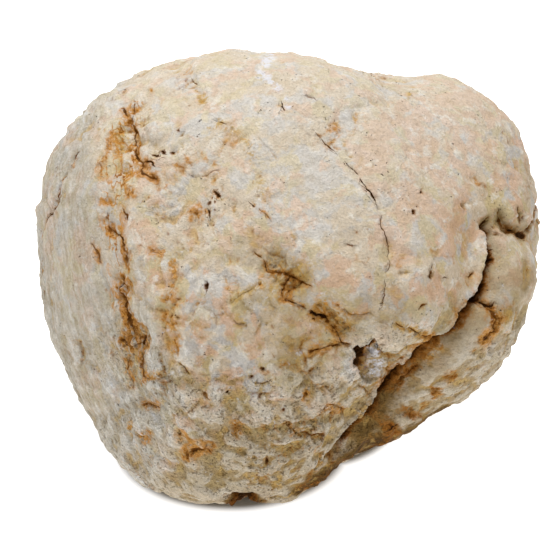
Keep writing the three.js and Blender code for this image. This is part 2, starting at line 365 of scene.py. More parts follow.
    showing([(-29.2, 13.6), (-28.2, 12.3), (-27.4, 10.4)], 0.4, 0.39, dark=0.49, rust=0.32),
    showing([(-31.6, 12.8), (-31.8, 10.8), (-31.6, 9.6), (-30.2, 8.2), (-28.8, 7.4), (-28.1, 4.6),
             (-28.6, 1.4)], 0.5, 0.55, dark=0.45, rust=0.9),
    showing([(-34.9, 6.9), (-33.4, 5.3), (-32.4, 2.2)], 0.4, 0.33, dark=0.42, rust=0.64),
    showing([(-28.6, 1.4), (-29.9, -1.8), (-29.2, -4.6), (-27.9, -7.6), (-27.3, -10.2), (-27.5, -11.6)],
            0.55, 0.66, dark=0.5, rust=0.9),
    showing([(-29.8, -10.2), (-28.4, -11.6), (-27.2, -12.2), (-25.4, -11.4), (-25.6, -9.8)], 0.6, 0.44,
            dark=0.56, rust=0.8),
    showing([(-25.5, -12.2), (-24.9, -14.4), (-24.4, -17), (-24.1, -18.6)], 0.55, 0.39, dark=0.42,
            rust=0.72),
    showing([(-28.2, -13.6), (-27.8, -16.2), (-26.9, -19), (-26.6, -20.6)], 0.5, 0.44, dark=0.42,
            rust=0.64),
    showing([(-30.5, -12.8), (-30.3, -15.2)], 0.25, 0.22, dark=0.42, rust=0.32),
    showing([(-26, -22.8), (-24.6, -22.4), (-23.4, -22.8), (-21.8, -23.2)], 0.6, 0.5, dark=0.56, rust=0.72),
    showing([(-22.6, -16.2), (-21.8, -17.2)], 1, 0.11, ochre=0.9, rust=0.32),
    showing([(-24.8, 33), (-27, 28), (-27.4, 22), (-29.4, 17), (-31, 12), (-30.4, 8), (-29.4, 2),
             (-29.2, -5), (-27.4, -11), (-26.4, -16), (-25, -20)], 2.4, seam=1, knobs=0.5),
    showing([(-30, 29), (-31.4, 24), (-32, 18)], 2, seam=0.9, knobs=0.4),
    showing([(-27.6, 30), (-29.4, 24), (-28.4, 17), (-31, 11)], 1.5, ochre=0.5, rust=0.2, dust=0.3),
    showing([(-28.4, 3), (-28.4, -8), (-26.4, -16)], 1.3, ochre=0.5, rust=0.2, dust=0.3),
    # dust and painted shade around the cleft, and painted shade along the right rim
    showing([(36.4, 9.4), (38.6, 10.6)], 1.3, dust=0.5),
    showing([(40, 9.8), (43.8, 9.2)], 1.3, rust=0.15, ochre=0.2, dust=0.5),
    showing([(45, 22), (46.2, 12)], 3, dust=0.5),
    # the strand right of the seam
    showing([(-24.4, 5.6), (-22.4, 5.2), (-20.4, 4.6)], 0.7, 0.22, dark=0.28, rust=0.72),
    showing([(-19.8, 4.2), (-19.2, 1.6), (-19.5, -1.2), (-20.6, -3.2), (-22.2, -3.6)], 0.55, 0.33,
            dark=0.14, rust=0.64, ochre=0.5),
    showing([(-18.6, -3.4), (-17.8, -3.9)], 0.6, 0.28, dark=0.28, rust=0.48),
    showing([(-21.2, -5.4), (-20.8, -6.8), (-19.8, -8.2), (-19, -10.4), (-18.8, -14.2)], 0.55, 0.33,
            rust=0.64, ochre=0.6, dark=0.21),
    showing([(-18.9, -14.4), (-17.6, -16.4), (-16.2, -18)], 0.45, 0.39, dark=0.42, ochre=0.7),
    showing([(-14.8, -20.2), (-13.3, -21.4), (-12.2, -22.4)], 0.45, 0.39, dark=0.35, rust=0.4),
    showing([(-17.2, 19.2), (-15.4, 18.7), (-13.3, 19.4), (-10.4, 20.1)], 0.35, 0.28, dark=0.32, ochre=0.4),
    # pits and stains on the main face
    showing([(-11.6, 16), (-11.2, 15.4)], 0.5, 0.6, dark=1, rust=0.3),
    showing([(-12.4, 15)], 0.3, 0.3, dark=1),
    showing([(-11.7, 14.2)], 0.22, 0.2, dark=0.8),
    showing([(-12.9, 13.9)], 0.35, 0.3, dark=1),
    showing([(-11.8, 12.7)], 0.22, 0.2, dark=0.8),
    showing([(-12.9, 12.5), (-12.8, 11.5)], 0.3, 0.3, dark=0.9),
    showing([(-12.2, 10.2)], 0.2, 0.2, dark=0.7),
    showing([(-18.3, 27.2)], 0.28, 0.3, dark=0.9),
    showing([(-14.8, 26.1)], 0.22, 0.2, dark=0.8),
    showing([(-15.1, 12.3)], 0.8, 0.3, rust=1, ochre=0.5),
    showing([(-20.4, 14.2), (-18.8, 13.6)], 0.8, 0.1, white=0.55),
    showing([(-21.4, -3.6), (-20.2, -4.6)], 0.7, -0.2, white=0.6),
    showing([(-13.8, -4.4), (-12.6, -5.8)], 0.7, -0.1, white=0.45),
    showing([(-21.6, -8.8), (-20.8, -10.4)], 1, -0.2, white=0.7),
    showing([(-20.8, -16.6), (-19.8, -17.6)], 0.9, -0.2, white=0.75),
    showing([(-4.6, -31.2), (-3.4, -32.2)], 0.9, -0.2, white=0.75),
    showing([(2.6, -12.4), (3.7, -14.3)], 1, -0.2, white=0.7),
    showing([(31.6, -8.6)], 0.8, -0.2, white=0.4),
    showing([(-13.3, -0.8), (-13.2, -1.8)], 0.35, 0.5, dark=1),
    showing([(0.6, -23.6)], 0.35, 0.4, dark=0.8),
    showing([(1.9, -26.9)], 0.35, 0.4, dark=0.8),
    showing([(-2.2, -33)], 0.4, 0.4, dark=0.8),
    showing([(-5.1, -17.9)], 0.35, 0.4, dark=0.8),
    showing([(-2.5, -0.2), (-4.6, -1.2), (-7.4, -3), (-9.4, -4.2)], 0.45, 0.5, ochre=0.8, dark=0.3),
    showing([(-7.4, -5.8), (-7.6, -9.2)], 0.8, 0.3, ochre=0.8),
    showing([(-5.3, -18.3), (-4.6, -19.2), (-3.4, -19.4), (-0.9, -18.2)], 0.4, 0.5, dark=0.4, ochre=0.6),
    showing([(-3.1, -16.4)], 0.4, 0.6, dark=0.9),
    showing([(-9.6, -20.7)], 0.4, 0.6, dark=0.8),
    showing([(-4.2, -26.8), (-3, -27.1), (-1.7, -26.9)], 0.35, 0.6, dark=0.5, rust=0.5),
    showing([(-8.6, -25), (-8.3, -27.2), (-7.7, -29.4)], 0.8, 0.5, rust=0.75, ochre=0.5, dark=0.2),
    showing([(-18.2, -28)], 0.7, 0.5, rust=0.7, dark=0.4),
    showing([(-17.5, -33.2), (-16.6, -31.6), (-15, -30.6), (-13.2, -30.7), (-12.3, -32.2)], 0.75, 0.5,
            rust=1.1, ochre=0.6, dark=0.4),
    showing([(-28.2, -26), (-26.6, -26.4)], 1, 0.4, ochre=1, rust=0.7),
    showing([(-24.8, -28.7)], 0.7, 0.3, rust=0.7),
    showing([(-1.2, -36.2), (1, -37)], 1.1, 0.4, ochre=1, rust=0.3),
    showing([(25.6, 16.1)], 0.35, 0.4, dark=0.7),
    showing([(24.8, 13.2)], 0.3, 0.4, dark=0.8, rust=0.4),
    showing([(23.9, 12.4)], 0.35, 0.4, dark=0.8, rust=0.4),
    showing([(13.4, 8.5), (14.6, 8.9)], 0.6, 0.4, rust=0.6, dark=0.3),
    showing([(12.3, 6.6), (13.4, 6.4)], 0.5, 0.4, dark=0.4, grey=0.5),
    showing([(15.6, 31.2), (14.8, 30.2)], 0.9, 0.3, rust=0.45, blush=0.5),
    showing([(9.4, 27.9), (10.4, 27)], 0.8, 0.3, rust=0.45, blush=0.5),
    showing([(22.7, 33.8), (24, 33)], 0.7, 0.3, ochre=1, rust=0.2),
    showing([(33, 14.4), (33.9, 11.8)], 0.6, 0.4, dark=0.2, ochre=0.3),
    showing([(-12.2, 28.9), (-9, 27.5), (-5.8, 24.8), (-4.7, 20.5), (-3.1, 16.2), (-0.9, 14)], 0.8, 0.1,
            ochre=0.5, rust=0.22),
    showing([(-30.6, 9.8), (-29.4, 8.2)], 1, 0.2, rust=0.8, ochre=0.4),
    # broad patches of colour, calm faces and knobby ones
    showing([(16, 23.2), (21.4, 16.2), (25.2, 11.3)], 2.4, blush=0.9),
    showing([(22.5, 27), (26.8, 20)], 2, blush=0.6),
    showing([(38.2, 19.4), (43, 16.2)], 2, blush=0.9),
    showing([(30.6, 27), (34.9, 20.5)], 2.6, grey=0.9, blush=-1),
    showing([(0.9, 24.3), (9, 15.1), (16, 9.7)], 4, grey=0.7, blush=-0.8),
    showing([(18, 30), (28, 18), (26, 6)], 12, blush=0.85, knobs=-0.6),
    showing([(38, 20), (30, 34)], 8, blush=0.6, knobs=-0.5),
    showing([(-14, 37), (6, 38)], 7, knobs=-0.6),
    showing([(-16, 39), (-6, 41)], 3, knobs=-1.5),
    showing([(-2, 30), (8, 18), (12, 8)], 8.5, grey=0.6, knobs=-0.7),
    showing([(-12, 22)], 7, grey=0.4),
    showing([(-24, 30), (-21, 20), (-15, 12)], 7, knobs=0.8),
    showing([(-8, -11), (-14, -17)], 6, grey=0.9),
    showing([(-16, -2)], 5, grey=0.5, knobs=-0.2),
    showing([(-22, -4), (-18, -22)], 6, knobs=0.35, dust=0.3),
    showing([(11.5, -2.6)], 3.6, -0.3, grey=0.9, knobs=-0.6),
    showing([(0, -18), (8, -14)], 6, ochre=0.2, knobs=0.5, dust=0.45),
    showing([(-2, 0), (4, -8), (14, -8), (24, -4)], 6, ochre=0.3, dust=0.55, knobs=0.55),
    showing([(-14, -34), (0, -34), (8, -26)], 9, dust=0.5, knobs=0.35),
    showing([(-38, 14), (-38, -6), (-30, -24)], 7, knobs=-0.5),
    # painted shade over the greyer strip under the ledge
    showing([(37, -5.5), (32.4, -10.8), (25.2, -17.1), (18, -24.3), (13, -29)], 4, dust=0.95, grey=0.5,
            knobs=0),
    showing([(40.5, 4), (40, -3), (38, -7)], 3.2, dust=0.45, knobs=0.2),
    # painted shade along the lower edge and underside of the belly, where they come close to the table, with
    # some rust
    stroke(FRONT, [(3, -22.4), (10.3, -17.4), (14, -15.5), (18, -14.1), (21.5, -13.3)], 2.4, rust=0.3,
           dust=3.4),
    stroke(FRONT, [(22, -13.6), (26, -12.8), (32, -12.2)], 2.4, dust=1.5),
    stroke(FRONT, [(-6.8, -17), (-6.2, -26)], 2.6, dust=3.4, dark=1.6),
    showing([(-9, 7), (-5, 5.2), (1, 1.6), (5, -2)], 2.6, dust=0.8, ochre=0.2),
    showing([(-7, -2), (-4, -5)], 3.5, dust=0.5),
    showing([(-22, 6), (-17, 4.4)], 2.6, dust=0.6, ochre=0.3),
    showing([(-26, -24), (-20, -35)], 5, dust=-0.6),
    showing([(-34, -16), (-31, -24)], 4, dust=-0.5),
    # the notch between two lobes of the belly, painted dark as its shade
    stroke(FRONT, [(-6.8, -14.5), (-6.9, -18.5), (-6.4, -22), (-5.8, -27), (-5.8, -33)], 2.2, 5.4, dark=2.8,
           rust=0.3, dust=0.8),
    stroke(FRONT, [(-6.8, -19.5), (-3.4, -20.4), (1.6, -20.6), (6, -19.4)], 0.8, 1.1, dark=0.6, ochre=0.8),
    # the far side, and the two ends
    stroke(FAR, [(-34, 12), (-22, 15), (-10, 9), (2, 7), (14, -3), (24, -6), (33, -16)], 0.7, 1.6, dark=0.9,
           rust=0.9),
    stroke(FAR, [(2, 7), (5, 11), (8, 17), (7, 27)], 0.5, 1.1, dark=0.7, rust=0.8),
    stroke(FAR, [(-28, -8), (-17, -14), (-6, -15), (3, -22)], 0.6, 1.2, dark=0.7, rust=0.7),
    stroke(FAR, [(16, 16), (20, 10), (19, 3)], 0.3, 0.6, dark=0.5, rust=0.5),
    stroke(FAR, [(-16, 28), (-12, 21), (-14, 15)], 0.35, 0.7, dark=0.6, rust=0.6),
    stroke(FAR, [(-8, 0)], 6, grey=0.9, knobs=-0.3),
    stroke(FAR, [(18, 22)], 9, blush=0.7),
    stroke(FAR, [(-22, -20), (0, -26)], 8, dust=0.8, ochre=0.3, knobs=0.5),
    stroke(RIGHT, [(0.5, 4.5), (4, 3.5), (9, 5), (14, 1), (20, 2)], 0.6, 1.3, dark=0.7, rust=0.7),
    stroke(RIGHT, [(10, 4), (9, -6), (14, -12)], 0.4, 0.8, dark=0.6, rust=0.6),
    stroke(RIGHT, [(14, 18)], 8, blush=0.6),
    stroke(LEFT, [(-20, 10), (-14, 2), (-16, -8), (-10, -18)], 0.4, 0.8, dark=0.6, rust=0.7),
    stroke(LEFT, [(4, 20), (8, 8), (5, -4), (9, -14)], 0.3, 0.6, dark=0.5, rust=0.4),
    stroke(LEFT, [(0, 0)], 10, grey=0.5, knobs=-0.2),
]


# --- The relief -----------------------------------------------------------------------------------------


class Relief:
    """Works out, for points of the smooth stone, how far each moves and what it is marked with."""

    def __init__(self, points, normals, shape):
        self.points, self.normals, self.shape = points, normals, shape
        count = len(points)
        self.height = np.zeros(count)
        self.slide = np.zeros((count, 3))
        self.marks = {name: np.zeros(count) for name in MARKS}
        self.marks["halo"] = np.zeros(count)
        self.crevice = np.zeros(count)  # how close a crevice is that needs a finer mesh
        self.sketched = np.zeros(count)  # the same for the sketched ones
        self.gap = np.full(count, 3.0)  # how far the nearest thin crack is, in its own half widths
        self.marks["crack"] = np.full(count, 3.0)  # the same, below zero on the crack's right
        self.marks["cracked"] = np.zeros(count)
        # how far a point is on the underside: 0 near the lower edge that shows and 1 well below it
        uneven = 0.45 * waves(points, 11.0, 50) + 0.25 * waves(points, 4.0, 51)
        self.under = rise(uneven - normals @ SHOWING.out, -0.05, 0.9)
        self.under *= rise(uneven - normals[:, 2], 0.2, 1.05)
        self.swell()
        self.body = points + normals * self.height[:, None]
        self.jittered = self.body + 0.4 * drift(points, 2.4, 1) + 0.16 * drift(points, 0.9, 2)
        self.draw_strokes()
        self.break_up()
        self.undercut_ledge()
        self.open_cavity()
        self.roughen()

    def swell(self):
        self.height += 0.35
        for across, up, out, radius, height in SWELLINGS:
            distance = np.linalg.norm(self.points - SHOWING.place(across, up, out), axis=1)
            self.height += height * bell(distance, radius)

    def draw_strokes(self):
        """Every sketched stroke: its depth, and its marks on the surface."""
        for side in dict.fromkeys(s.side for s in STROKES):
            facing = side.facing(self.points, self.normals)
            places = side.sketch(self.jittered)
            for s in STROKES:
                if s.side is side:
                    self.draw(s, places, facing)

    def draw(self, s, places, facing):
        line = np.asarray(s.line, float)
        reach = 3.0 * s.width + 2.5
        low, high = line.min(axis=0) - reach, line.max(axis=0) + reach
        near = np.flatnonzero(np.all((places > low) & (places < high), axis=1) & (facing > 0))
        if len(near) == 0:
            return
        found = nearest(places[near], line)
        near, found = near[found.distance < reach], Near(*(part[found.distance < reach] for part in found))
        if len(near) == 0:
            return
        length = np.linalg.norm(np.diff(line, axis=0), axis=1).sum()
        short = length < 1.2
        ends = 1.0 if short else rise(np.minimum(found.along, 1 - found.along) * length, -0.3, 1.2)
        shows = facing[near] * ends
        seed = line[0].sum()
        run = found.along * length
        strand = np.stack([run / 2.4, found.left * found.distance / (0.4 + 0.3 * s.width), 0 * run], axis=1)
        braid = 1.0 - np.clip(np.abs(waves(strand, 1.0, seed)) * 6.0, 0.0, 1.0)
        swell = np.clip(0.9 + 1.3 * waves(np.stack([run, 0 * run, 0 * run], axis=1), 1.5, seed), 0.25, 1.5)
        swell = np.maximum(swell, 0.9) if short else swell
        width = s.width * (0.35 + 0.5 * swell)
        core = shows * bell(found.distance, width)
        around = shows * bell(found.distance, 2.2 * s.width) * braid
        self.height[near] -= s.depth * (0.55 * core * swell + 0.3 * around)
        for name, strength in s.marks.items():
            if name == "dark":
                left = (0.8 if short else 0.4) * core * swell + 0.3 * around * braid
            elif name == "rust":
                left = shows * bell(found.distance, 2.1 * s.width) * (0.6 + 0.7 * braid)
            else:
                left = shows * bell(found.distance, (1.8 if name == "ochre" else 1.0) * s.width)
            self.marks[name][near] += strength * left
        if "dark" in s.marks:
            widths = found.distance / np.minimum(width, 0.32)
            nearer = widths < self.gap[near]
            here = near[nearer]
            self.gap[here] = widths[nearer]
            self.marks["crack"][here] = (found.left * widths)[nearer]
            cracked = s.marks["dark"] * shows * bell(found.distance, 1.6 * s.width + 0.3)
            self.marks["cracked"][here] = cracked[nearer]
        if s.depth > 0:
            close = shows * bell(found.distance, s.width + 0.45)
            self.sketched[near] = np.maximum(self.sketched[near], close)
            self.marks["halo"][near] += 0.5 * shows * bell(found.distance, s.width + 1.2)

    def break_up(self):
        """Knobs and plates of three sizes with crevices between them, which come and go."""
        points, marks = self.points, self.marks
        warped = points + 3.4 * drift(points, 10.0, 4) + 1.1 * drift(points, 3.1, 5)
        warped += 0.4 * drift(points, 1.1, 6)
        self.knobs = np.clip(0.6 + 0.5 * waves(points, 21.0, 7) + 0.6 * marks["knobs"], 0.1, 1.3)
        self.knobs *= 1.0 - 0.3 * self.under
        for size, pillow, tilt, depth, width, seed in self.shape:
            found = plates(warped, size, seed)
            shows = rise(waves(points, 1.3 * size, seed + 30) + 0.35 * (self.knobs - 0.85), 0.02, 0.3)
            shows *= rise(self.knobs, 0.1, 0.3)
            rounding = np.exp(-((found.border / (0.24 * size)) ** 1.5))
            self.height += self.knobs * (tilt * found.tilt - pillow * rounding)
            crack = shows * np.exp(-((found.border / width) ** 1.3))
            self.height -= depth * crack
            # painted shade: some crevices between the plates are darkened
            marks["dark"] += 0.42 * crack * shows * rise(found.chance, 0.1, 0.6)
            marks["halo"] += 0.6 * shows * bell(found.border, 0.16 * size)
            rusty = 0.35 * rise(waves(points, 9.0, seed + 40), 0.1, 0.35) * shows
            marks["rust"] += rusty * bell(found.border, 2 * width)
            if width > 0.2:
                self.crevice = np.maximum(self.crevice, shows * bell(found.border, width + 0.35))

    def undercut_ledge(self):
        """The main face juts out over the strip below its lip."""
        facing = SHOWING.facing(self.points, self.normals)
        places = SHOWING.sketch(self.body + 0.35 * drift(self.points, 1.7, 8))
        found = nearest(places, LIP)
        above = -found.left * found.distance  # mm above the lip, below it where negative
        near = facing * rise(found.along, 0.0, 0.06) * rise(1 - found.along, 0.0, 0.2) * (found.distance < 12)
        below = rise(-above, -0.12, 0.2)
        uneven = 1.0 + 0.55 * waves(self.points, 4.0, 9)
        deep = np.maximum(-above, 0)
        self.height += near * 0.6 * (1 - below) * np.exp(-np.maximum(above, 0) / 2.4)
        self.height -= near * uneven * below * (2.4 * bell(deep, 1.0) + 1.2 * bell(deep, 3.2))
        step = -found.left[:, None] * found.step
        over = near * 0.55 * uneven * (1 - below) * np.exp(-np.maximum(above, 0) / 1.3)
        self.slide -= SHOWING.lift(step * over[:, None])
        # painted shadow under the lip: dark, dust and umber stand in for its shade, beside rust and ochre
        # stains
        self.marks["dark"] += near * 1.5 * below * bell(deep - 0.5, 1.1) * rise(uneven, 0.5, 1.05)
        self.marks["rust"] += near * 0.8 * below * bell(deep - 0.6, 1.5) * rise(uneven, 0.65, 1.2)
        self.marks["ochre"] += near * 0.4 * below * bell(deep, 2.4)
        self.marks["dust"] += near * 2.1 * below * np.exp(-deep / 2.0)
        self.sketched = np.maximum(self.sketched, near * bell(above, 0.9))

    def open_cavity(self):
        """A hollow broken into the rind, deepest under its overhanging upper left edge."""
        facing = SHOWING.facing(self.points, self.normals)
        places = SHOWING.sketch(self.body + 0.12 * drift(self.points, 0.8, 10))
        rim = nearest(places, CAVITY + CAVITY[:1])
        within = np.where(inside(places, CAVITY), rim.distance, -rim.distance)
        hollow = facing * rise(within, -0.08, 0.22)
        inward = nearest(places, OVERHANG).distance
        lumps = plates(self.points, 1.25, 11)
        floor = 3.0 * (1 - rise(inward, 0.6, 5.4)) - 0.3 * rise(lumps.border, 0.0, 0.45) + 0.3 * lumps.tilt
        self.height -= hollow * floor
        over = facing * bell(inward, 1.1) * (within < 0.05)
        self.slide += SHOWING.lift(np.array([[0.7, -0.7]]) * (0.4 * over)[:, None])
        pale = hollow * bell(inward - 3.9, 1.1)
        self.marks["white"] += pale * (0.4 + 0.6 * lumps.chance)
        self.marks["grey"] += hollow
        self.marks["rust"] += 0.6 * hollow * bell(inward - 2.2, 0.8)
        # painted shadow: darkest under the overhanging edge, where the hollow lies in shade
        self.marks["dark"] += 1.3 * hollow * (1 - rise(inward, 1.7, 2.9))
        self.sketched = np.maximum(self.sketched, facing * bell(np.maximum(-within, 0), 0.7))

    def roughen(self):
        """Streaks along the flank and grain all over; painted shade, partly dust, on the lower faces and the
        underside, and painted light on the upward faces.
        """
        points = self.points
        ridge = np.array(GRAIN)
        flank = rise(-self.normals @ SHOWING.across - 0.25 * self.normals @ SHOWING.out, 0.25, 0.6)
        drawn_out = points - 0.9 * (points @ ridge)[:, None] * ridge
        self.height += flank * 0.3 * rough(drawn_out, 1.9, 12, 3)
        broad = 0.4 * waves(points, 13.0, 16)
        self.height += broad + 0.4 * rough(points, 6.0, 13, 3) * (0.4 + 0.6 * self.knobs)
        self.height += 0.22 * rough(points, 1.9, 14, 2)
        upward, high = self.normals[:, 2], points[:, 2]
        low = -upward - high / 32
        rugged = rise(low, -0.9, 0.3)
        self.height += (0.15 + 0.35 * rugged) * self.knobs * rough(points, 3.1, 15, 2)
        self.marks["flank"] = flank
        self.marks["rugged"] = (0.25 + 0.75 * rugged) * self.knobs
        # painted shade, partly dust: darker on faces that look down, lower on the stone and on its underside
        self.marks["dust"] += 0.9 * rise(low, -0.75, 0.7) + 0.35 * rise(low, 0.2, 1.5) + 1.0 * self.under
        # painted light: paler on faces that look up and higher on the stone
        self.marks["pale_and_lit"] += rise(upward + high / 60, 0.75, 1.5)

    def closeness(self):
        """How much each point needs a finer mesh, from 0 to 1."""
        return np.maximum(self.sketched, 0.6 * self.crevice)

    def moved(self):
        return self.points + self.normals * self.height[:, None] + self.slide


# --- Meshes ---------------------------------------------------------------------------------------------


def coordinates(bm, heart):
    """The vertices' places in mm from the heart, and their normals."""
    bm.normal_update()
    places = np.array([v.co for v in bm.verts]) / MM - heart
    return places, np.array([v.normal for v in bm.verts])


def cut_finer(bm, edges):
    """Cuts edges in half. A new vertex goes again where the faces on both its sides were cut past it."""
    bmesh.ops.subdivide_edges(bm, edges=edges, cuts=1)
    bmesh.ops.triangulate(bm, faces=[f for f in bm.faces if len(f.verts) > 3])
    passed = {}
    for edge in bm.edges:
        if len(edge.link_faces) > 2:
            between = [v for f in edge.link_faces for v in f.verts if v not in edge.verts]
            passed[max(between, key=between.count)] = edge.verts[0]
    bmesh.ops.weld_verts(bm, targetmap=passed)


def smooth(bm, times, factor):
    for _ in range(times):
        bmesh.ops.smooth_vert(
            bm, verts=bm.verts, factor=factor, use_axis_x=True, use_axis_y=True, use_axis_z=True
        )


def hollowness(places, normals, edges, times):
    """How far below its surroundings each vertex lies, in mm, and below zero how far above them."""
    start, end = edges.T
    count = len(places)
    neighbours = np.bincount(start, minlength=count) + np.bincount(end, minlength=count)
    settled = places.copy()
    for _ in range(times):
        total = np.empty_like(settled)
        for axis in range(3):
            values = settled[:, axis]
            total[:, axis] = np.bincount(start, values[end], count) + np.bincount(end, values[start], count)
        settled = total / neighbours[:, None]
    return np.sum((settled - places) * normals, axis=1)


def keep(mesh, name, values):
    mesh.attributes.new(name, "FLOAT", "POINT").data.foreach_set("value", values.astype(np.float32))


def shade_smooth(mesh):
    mesh.polygons.foreach_set("use_smooth", np.ones(len(mesh.polygons), bool))


def place(mesh, name):
    piece = bpy.data.objects.new(name, mesh)
    bpy.context.scene.collection.objects.link(piece)
    return piece


# --- Materials ------------------------------------------------------------------------------------------


class Tree:
    """A node tree with short calls that add a node and join it up."""

    def __init__(self, tree):
        self.tree = tree
        tree.nodes.clear()

    def add(self, kind, inputs=(), **settings):
        """A node with its settings. inputs maps sockets, by name or number, to values or to other sockets."""
        node = self.tree.nodes.new(kind)
        for name, value in settings.items():
            setattr(node, name, value)
        for name, value in dict(inputs).items():
            if isinstance(value, bpy.types.NodeSocket):
                self.tree.links.new(value, node.inputs[name])
            else:
                node.inputs[name].default_value = value
        return node

    def math(self, operation, first, second=0.0, clamp=False):
        settings = {"operation": operation, "use_clamp": clamp}
        return self.add("ShaderNodeMath", {0: first, 1: second}, **settings).outputs[0]

    def plus(self, first, second, clamp=False):
        return self.math("ADD", first, second, clamp)

    def minus(self, first, second):
        return self.math("SUBTRACT", first, second)

    def times(self, first, second, clamp=False):
        return self.math("MULTIPLY", first, second, clamp)

    def range(self, value, low, high, to_low=0.0, to_high=1.0):
        """value from low to high, mapped smoothly from to_low to to_high."""
        inputs = {"Value": value, "From Min": low, "From Max": high, "To Min": to_low, "To Max": to_high}
        return self.add("ShaderNodeMapRange", inputs, interpolation_type="SMOOTHSTEP").outputs[0]

    def mix(self, share, first, second, blend="MIX"):
        inputs = {0: share, 6: first, 7: second}
        return self.add("ShaderNodeMix", inputs, data_type="RGBA", blend_type=blend).outputs[2]

    def noise(self, vector, size, detail=3.0, roughness=0.55, distortion=0.0):
        """Noise from 0 to 1 whose waves are about size long, in metres."""
        inputs = {"Vector": vector, "Scale": 1 / size, "Detail": detail, "Roughness": roughness,
                  "Distortion": distortion}
        return self.add("ShaderNodeTexNoise", inputs).outputs[0]

    def bend(self, vector, size, reach):
        """The vector moved by a noise whose waves are about size long."""
        inputs = {"Vector": vector, "Scale": 1 / size, "Detail": 3.0}
        swirl = self.add("ShaderNodeTexNoise", inputs).outputs["Color"]
        swirl = self.add("ShaderNodeVectorMath", {0: swirl, 1: (reach,) * 3}, operation="MULTIPLY").outputs[0]
        return self.add("ShaderNodeVectorMath", {0: vector, 1: swirl}).outputs[0]

    def shift(self, vector, steps):
        """The same vector moved, so that a noise on it differs from one on the vector itself."""
        return self.add("ShaderNodeVectorMath", {0: vector, 1: (steps, -steps, 2 * steps)}).outputs[0]

    def reach(self, place, middle, radii):
        """How far out a place is from an upright oval column's middle, being 1 on the column's surface."""
        scale = [1 / radius for radius in radii]
        shift = [-at * by for at, by in zip(middle, scale)]
        inputs = {"Vector": place, "Location": (*shift, 0.0), "Scale": (*scale, 0.0)}
        scaled = self.add("ShaderNodeMapping", inputs)
        return self.add("ShaderNodeVectorMath", {0: scaled.outputs[0]}, operation="LENGTH").outputs["Value"]

    def drawn_out(self, vector, direction, share):
        """The vector shortened along a direction, so that a noise on it is drawn out that way."""
        inputs = {0: vector, 1: direction}
        along = self.add("ShaderNodeVectorMath", inputs, operation="DOT_PRODUCT").outputs["Value"]
        inputs = {0: direction, "Scale": self.times(along, share)}
        step = self.add("ShaderNodeVectorMath", inputs, operation="SCALE").outputs[0]
        return self.add("ShaderNodeVectorMath", {0: vector, 1: step}, operation="SUBTRACT").outputs[0]

    def cells(self, vector, size, feature="F1"):
        inputs = {"Vector": vector, "Scale": 1 / size}
        return self.add("ShaderNodeTexVoronoi", inputs, feature=feature)

    def attribute(self, name):
        return self.add("ShaderNodeAttribute", attribute_name=name).outputs["Fac"]


